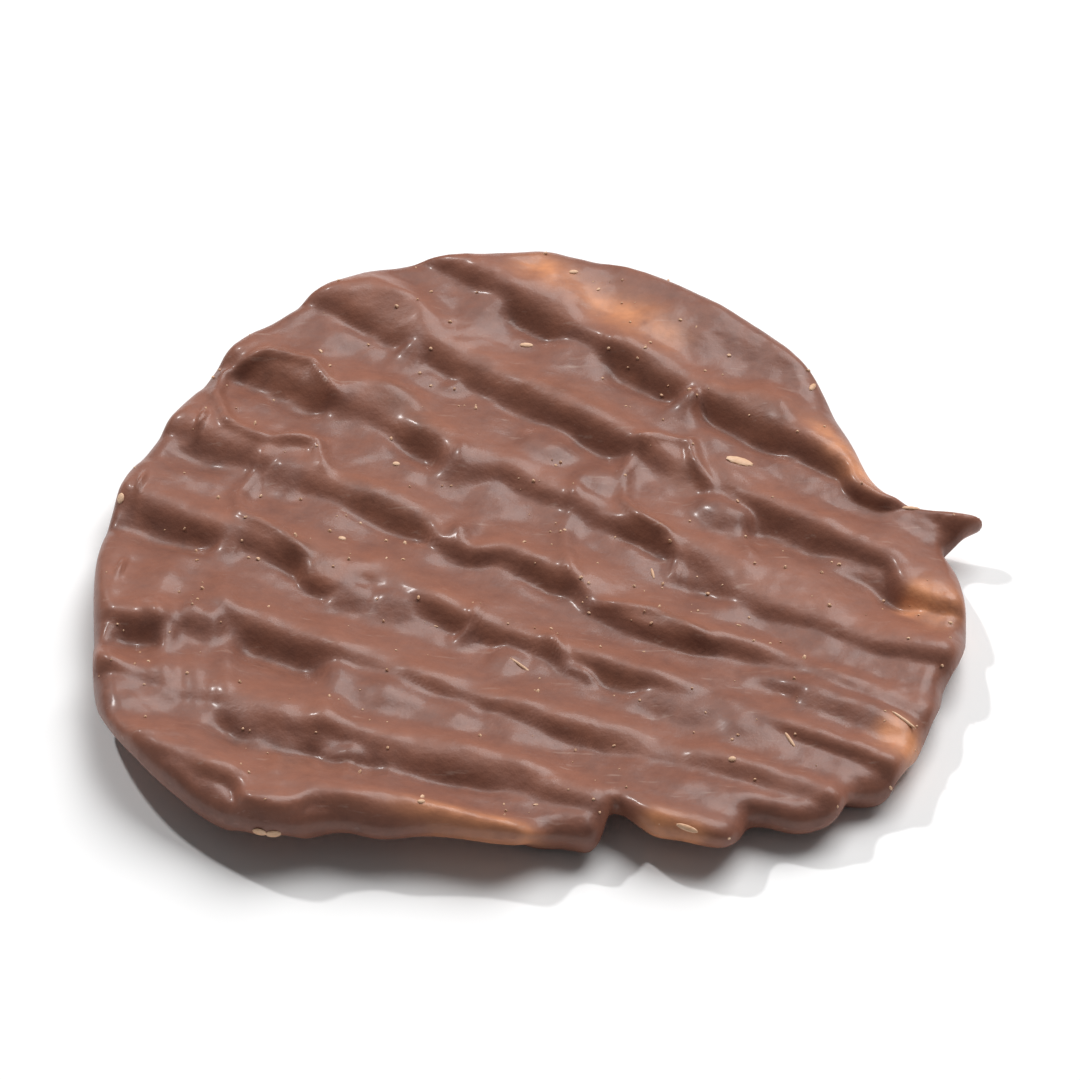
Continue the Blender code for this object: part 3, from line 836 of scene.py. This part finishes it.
over_pool = stored(shader_tree, "above_pool")
blotches = clamped(shader_noise(shader_tree, 140.0, 2.0) * 2.0 - 0.5, 0.0, 1.0)
pooled_share = clamped(0.35 - over_pool * 0.5, 0.0, 0.5) * blotches
# Painted shade: the deeper the hollow, the darker the coat, in place of the shadow that falls there.
hollow_painted_shade_share = clamped(stored(shader_tree, "hollow") * 0.48, 0.0, 0.9)
painted_shade_and_pool_dark_share = clamped(pooled_share * 0.3 + hollow_painted_shade_share, 0.0, 0.9)
crest_share = clamped(over_pool * 0.55, 0.0, 0.75) * shader_noise(shader_tree, 230.0, 4.0, 0.65)
thin_patches = shader_noise(shader_tree, 420.0) * 2.4 - 0.35
thin_share = clamped(stored(shader_tree, "thin_coat") * thin_patches, 0.0, 0.9)
# Painted shade: the colour turns towards the near-black brown in the hollows and, a little, in the low pools.
colour = mixed(shader_tree, painted_shade_and_pool_dark_share, CHOCOLATE, GRAIN_AND_PAINTED_SHADE_BROWN)
colour = mixed(shader_tree, crest_share, colour, WARM_CHOCOLATE)
colour = mottled(shader_tree, colour, GRAIN_AND_PAINTED_SHADE_BROWN, 900.0, 0.14)
colour = mottled(shader_tree, colour, WARM_CHOCOLATE, 600.0, 0.32)
colour = mixed(shader_tree, thin_share, colour, TAN_COAT)
specks = clamped(shader_noise(shader_tree, 1900.0, 5.0, 0.75) * 6.0 - 3.9, 0.0, 1.0) * 0.35
scratch_noise = shader_noise(shader_tree, 1500.0, 3.0, 0.6, ALONG_RIDGES)
scratches = clamped(scratch_noise * 7.0 - 4.5, 0.0, 1.0) * 0.35
colour = mixed(shader_tree, (specks + scratches).math("MINIMUM", 0.5), colour, BLOOM)
plug(shader_tree, colour, surface.inputs["Base Color"])
plug(shader_tree, 0.36 + shader_noise(shader_tree, 330.0) * 0.24, surface.inputs["Roughness"])
surface.inputs["Coat Weight"].default_value = 0.20
surface.inputs["Coat Roughness"].default_value = 0.18
surface.inputs["Metallic"].default_value = 0.0
surface.inputs["Specular IOR Level"].default_value = 0.38
pits = add_node(shader_tree, "ShaderNodeBump", {"Strength": 0.45, "Distance": 0.00012})
plug(shader_tree, shader_noise(shader_tree, 1500.0, 3.0, 0.6), pits.inputs["Height"])
plug(shader_tree, pits.outputs["Normal"], surface.inputs["Normal"])
print("chocolate has", len(shader_tree.nodes), "nodes")

# %% [markdown]
# ## Running the tree
# The sizes go into the modifier by each socket's identifier, because two sockets may share a name. The
# evaluated result is copied to a plain mesh, the modifier is taken off, and the mesh is moved so that it
# stands exactly where the CAD solid does.

# %% Make the crisp
def run_tree(target, tree, values):
    """Replaces an object's mesh with what a node tree makes of it."""
    modifier = target.modifiers.new(tree.name, "NODES")
    modifier.node_group = tree
    for item in tree.interface.items_tree:
        if item.item_type == "SOCKET" and item.in_out == "INPUT" and item.name in values:
            modifier[item.identifier] = values[item.name]
    evaluated = target.evaluated_get(bpy.context.evaluated_depsgraph_get())
    mesh = bpy.data.meshes.new_from_object(evaluated)
    target.modifiers.remove(modifier)
    target.data = mesh
    return mesh


settings = dict(CRISP_SIZES)
settings.update(mark_tables)
settings.update({"Seed": 7.0, "Material": chocolate})
crisp_mesh = run_tree(crisp, crisp_tree, settings)
for marks in mark_tables.values():
    bpy.data.objects.remove(marks, do_unlink=True)
corners = [vertex.co for vertex in crisp_mesh.vertices]
low = Vector([min(corner[axis] for corner in corners) for axis in range(3)])
high = Vector([max(corner[axis] for corner in corners) for axis in range(3)])
shift = 0.5 * (crisp_low + crisp_high) - 0.5 * (low + high)
shift.z = crisp_low.z - low.z
for vertex in crisp_mesh.vertices:
    vertex.co += shift
top_vertex = max(corners, key=lambda corner: corner.z)
print("highest point at", [round(1000.0 * place, 1) for place in top_vertex])
print("crisp:", len(crisp_mesh.polygons), "faces,", [round(1000.0 * side, 2) for side in high - low], "mm")
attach(crisp, "root")
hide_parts("coated_crisp")

# %% [markdown]
# ## Crumbs
# Fine crumbs of fried potato stick to the coat while it is still wet. They are far too many to place by
# hand, so a second tree scatters points over the shown side, more thickly in some places than in others,
# and puts a small lumpy grain of twenty faces on each. The seed is fixed, so they always fall alike.

# %% Crumb material
POTATO = (0.820, 0.560, 0.380, 1.0)
BROWNED_POTATO = (0.550, 0.280, 0.140, 1.0)
crumb_finish = bpy.data.materials.new("fried_potato_crumb")
crumb_finish.use_nodes = True
crumb_tree = crumb_finish.node_tree
crumb_surface = crumb_tree.nodes["Principled BSDF"]
plug(crumb_tree, mottled(crumb_tree, POTATO, BROWNED_POTATO, 900.0, 0.8), crumb_surface.inputs["Base Color"])
plug(crumb_tree, 0.45 + shader_noise(crumb_tree, 1200.0) * 0.25, crumb_surface.inputs["Roughness"])
print("crumb finish has", len(crumb_tree.nodes), "nodes")

# %% Tree that scatters crumbs
CRUMB_SIZES = {
    "Crumbs per Square Metre": 130000.0,
    "Least Radius": 0.06 * MM,
    "Greatest Radius": 0.19 * MM,
    "Least Upward Share": 0.35,
    "Patch Scale": 160.0,
}
scatter_tree, scatter_in, scatter_out = new_tree(
    "Crumbs",
    "GeometryNodeTree",
    [("Geometry", GEOMETRY, None), ("Crisp", "NodeSocketObject", None)]
    + [(label, FLOAT, size) for label, size in CRUMB_SIZES.items()]
    + [("Seed", "NodeSocketInt", 11), ("Material", "NodeSocketMaterial", None)],
    [("Geometry", GEOMETRY)],
)


def crumb_size(label):
    """One of the scatter tree's named sizes."""
    return Field(scatter_in.outputs[label])


crisp_info = add_node(scatter_tree, "GeometryNodeObjectInfo", {"Object": scatter_in.outputs["Crisp"]})
face_normal = scatter_tree.nodes.new("GeometryNodeInputNormal")
upward = Field(add_node(scatter_tree, "ShaderNodeSeparateXYZ", {0: face_normal.outputs[0]}).outputs["Z"])
shown = upward.math("GREATER_THAN", crumb_size("Least Upward Share"))
patch_noise = add_node(
    scatter_tree, "ShaderNodeTexNoise", {"Scale": scatter_in.outputs["Patch Scale"], "Detail": 2.0}
)
patches = (Field(patch_noise.outputs[0]) * 3.2 - 1.1).math("MAXIMUM", 0.08)
scattered = add_node(
    scatter_tree,
    "GeometryNodeDistributePointsOnFaces",
    {
        "Mesh": crisp_info.outputs["Geometry"],
        "Density": crumb_size("Crumbs per Square Metre") * patches * shown,
        "Seed": scatter_in.outputs["Seed"],
    },
    distribute_method="RANDOM",
)
grain = add_node(scatter_tree, "GeometryNodeMeshIcoSphere", {"Radius": 1.0, "Subdivisions": 1})


def random_between(kind, low, high, shift):
    """A value drawn for each crumb."""
    draw = add_node(scatter_tree, "FunctionNodeRandomValue", data_type=kind)
    low_socket, high_socket = [socket for socket in draw.inputs if socket.enabled][:2]
    plug(scatter_tree, low, low_socket)
    plug(scatter_tree, high, high_socket)
    plug(scatter_tree, Field(scatter_in.outputs["Seed"]) + shift, draw.inputs["Seed"])
    return next(socket for socket in draw.outputs if socket.enabled)


least, greatest = scatter_in.outputs["Least Radius"], scatter_in.outputs["Greatest Radius"]
radius = Field(random_between("FLOAT", least, greatest, 1.0))
shape = random_between("FLOAT_VECTOR", (0.7, 0.6, 0.6), (1.7, 1.1, 1.0), 2.0)
crumb_scale = add_node(scatter_tree, "ShaderNodeVectorMath", {0: shape, "Scale": radius}, operation="SCALE")
spin = random_between("FLOAT_VECTOR", (0.0, 0.0, 0.0), (math.pi, math.pi, 2.0 * math.pi), 3.0)
crumbs_placed = add_node(
    scatter_tree,
    "GeometryNodeInstanceOnPoints",
    {
        "Points": scattered.outputs["Points"],
        "Instance": grain.outputs["Mesh"],
        "Rotation": spin,
        "Scale": crumb_scale.outputs[0],
    },
)
crumbs_real = add_node(scatter_tree, "GeometryNodeRealizeInstances", {"Geometry": crumbs_placed.outputs[0]})
crumbs_coloured = add_node(
    scatter_tree,
    "GeometryNodeSetMaterial",
    {"Geometry": crumbs_real.outputs[0], "Material": scatter_in.outputs["Material"]},
)
plug(scatter_tree, crumbs_coloured.outputs[0], scatter_out.inputs[0])
print("crumb tree has", len(scatter_tree.nodes), "nodes")

# %% Scatter the crumbs
crumbs = loop_object("crumbs", [(0.0, 0.0, 0.0), (MM, 0.0, 0.0), (0.0, MM, 0.0)])
crumb_settings = dict(CRUMB_SIZES)
crumb_settings.update({"Crisp": crisp, "Seed": 11, "Material": crumb_finish})
crumb_mesh = run_tree(crumbs, scatter_tree, crumb_settings)
print("crumbs:", len(crumb_mesh.polygons) // 20)
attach(crumbs, "root")

# %% [markdown]
# ## Flakes
# A few flakes and slivers of potato are larger than the crumbs and lie in known places, so each has a row of
# its own: place, half length, half width and turn. A ray cast from the camera's side, along the camera's line
# of sight, finds the coat there. The flake is sunk halfway in, as it was stuck while the coat was wet.
# The places were read from a middle that lies slightly too near, which the reading offset puts right.

# %% Flakes
FLAKES = (
    (16.0, 10.1, 1.10, 0.45, -12),
    (-19.8, -29.0, 0.55, 0.40, 30),
    (-18.8, -29.2, 0.60, 0.42, -20),
    (21.8, 18.4, 0.50, 0.22, 60),
    (-31.4, 6.0, 0.45, 0.35, 70),
    (3.3, 31.6, 0.40, 0.22, 15),
    (-0.6, -12.2, 1.30, 0.14, -32),
    (19.1, -19.6, 0.90, 0.14, -62),
    (27.6, -17.6, 1.20, 0.13, -40),
    (11.4, -28.6, 0.90, 0.24, -30),
    (28.9, 4.9, 0.80, 0.20, -10),
    (9.2, -2.2, 0.60, 0.12, -80),
    (-0.4, 23.2, 0.55, 0.24, 0),
    (-10.4, 9.8, 0.30, 0.24, 0),
    (-14.4, 1.6, 0.32, 0.26, 0),
    (14.8, -21.6, 0.30, 0.24, 0),
    (-8.0, -25.8, 0.30, 0.22, 20),
)
FLAKE_HALF_THICKNESS = 0.16
READING_OFFSET = 0.16
CAMERA_ELEVATION = 44.4
tilt = math.radians(CAMERA_ELEVATION)
sight = Vector((0.0, math.cos(tilt), -math.sin(tilt)))
middle_of_sight = Vector((shift.x, shift.y + READING_OFFSET * MM, 0.5 * (crisp_low.z + crisp_high.z)))
flake_build = bmesh.new()
for seen_x, seen_y, half_length, half_width, turn in FLAKES:
    seen_place = middle_of_sight + Vector((seen_x * MM, seen_y * MM, 0.0))
    hit, spot, normal, _ = crisp.ray_cast(seen_place - sight, sight)
    if not hit:
        print("no coat under the flake at", seen_x, seen_y)
        continue
    scale = Matrix.Diagonal((half_length * MM, half_width * MM, FLAKE_HALF_THICKNESS * MM, 1.0))
    side = Vector((math.cos(math.radians(turn)), math.sin(math.radians(turn)), 0.0))
    across = normal.cross(side).normalized()
    lean = Matrix((across.cross(normal), across, normal)).transposed().to_4x4()
    matrix = Matrix.Translation(spot) @ lean @ scale
    bmesh.ops.create_icosphere(flake_build, subdivisions=2, radius=1.0, matrix=matrix)
bmesh.ops.recalc_face_normals(flake_build, faces=flake_build.faces)
flake_mesh = bpy.data.meshes.new("flakes")
flake_build.to_mesh(flake_mesh)
flake_build.free()
flakes = bpy.data.objects.new("flakes", flake_mesh)
bpy.context.scene.collection.objects.link(flakes)
flakes.data.materials.append(crumb_finish)
print("flakes:", len(flake_mesh.polygons) // 80)
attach(flakes, "root")

# %% [markdown]
# ## Floor, lights and camera
# The crisp lies on a plain pale floor. A large soft light stands behind and to the right, so the slopes that
# face the viewer are darker and the ridges read clearly. A small light at the back left adds the few sharp
# highlights. The camera looks down at forty-four degrees through a long lens, which keeps the near and far
# edges at nearly the same scale.

# %% Floor
FLOOR_SIZE = 6.0
bpy.ops.mesh.primitive_plane_add(size=FLOOR_SIZE)
floor = bpy.context.object
floor.name = "floor"
floor_paint = bpy.data.materials.new("pale_floor")
floor_paint.use_nodes = True
floor_paint.node_tree.nodes["Principled BSDF"].inputs["Base Color"].default_value = (0.95, 0.95, 0.95, 1.0)
floor_paint.node_tree.nodes["Principled BSDF"].inputs["Roughness"].default_value = 0.9
floor.data.materials.append(floor_paint)

# %% Lights
def soft_light(name, place, aim, size, power):
    """A square area light that faces a point."""
    data = bpy.data.lights.new(name, "AREA")
    data.shape = "SQUARE"
    data.size = size
    data.energy = power
    lamp = bpy.data.objects.new(name, data)
    lamp.location = place
    lamp.rotation_euler = (Vector(aim) - Vector(place)).to_track_quat("-Z", "Y").to_euler()
    bpy.context.scene.collection.objects.link(lamp)


MIDDLE_OF_TRAY = (0.0, 0.0, 0.0)
ROOM_LIGHT = 0.12
soft_light("key_light", place=(0.36, 0.52, 0.89), aim=MIDDLE_OF_TRAY, size=0.85, power=13.2)
soft_light("left_light", place=(-0.45, 0.50, 0.72), aim=MIDDLE_OF_TRAY, size=0.05, power=3.6)
world = bpy.data.worlds.new("pale_room")
bpy.context.scene.world = world
world.use_nodes = True
world.node_tree.nodes["Background"].inputs["Color"].default_value = (1.0, 1.0, 1.0, 1.0)
world.node_tree.nodes["Background"].inputs["Strength"].default_value = ROOM_LIGHT
bpy.context.scene.view_settings.view_transform = "Standard"

# %% Camera
CAMERA_DISTANCE = 0.55
CRISP_SHARE_OF_FRAME = 0.82
SENSOR = 36.0
aim = Vector((0.0, 0.0, 0.5 * (crisp_low.z + crisp_high.z)))
camera_data = bpy.data.cameras.new("camera")
camera_data.sensor_width = SENSOR
camera_data.lens = SENSOR * CAMERA_DISTANCE * CRISP_SHARE_OF_FRAME / (crisp_high.x - crisp_low.x)
camera = bpy.data.objects.new("camera", camera_data)
camera.location = aim - CAMERA_DISTANCE * sight
camera.rotation_euler = (aim - camera.location).to_track_quat("-Z", "Y").to_euler()
bpy.context.scene.collection.objects.link(camera)
bpy.context.scene.camera = camera
print("lens:", round(camera_data.lens), "mm")
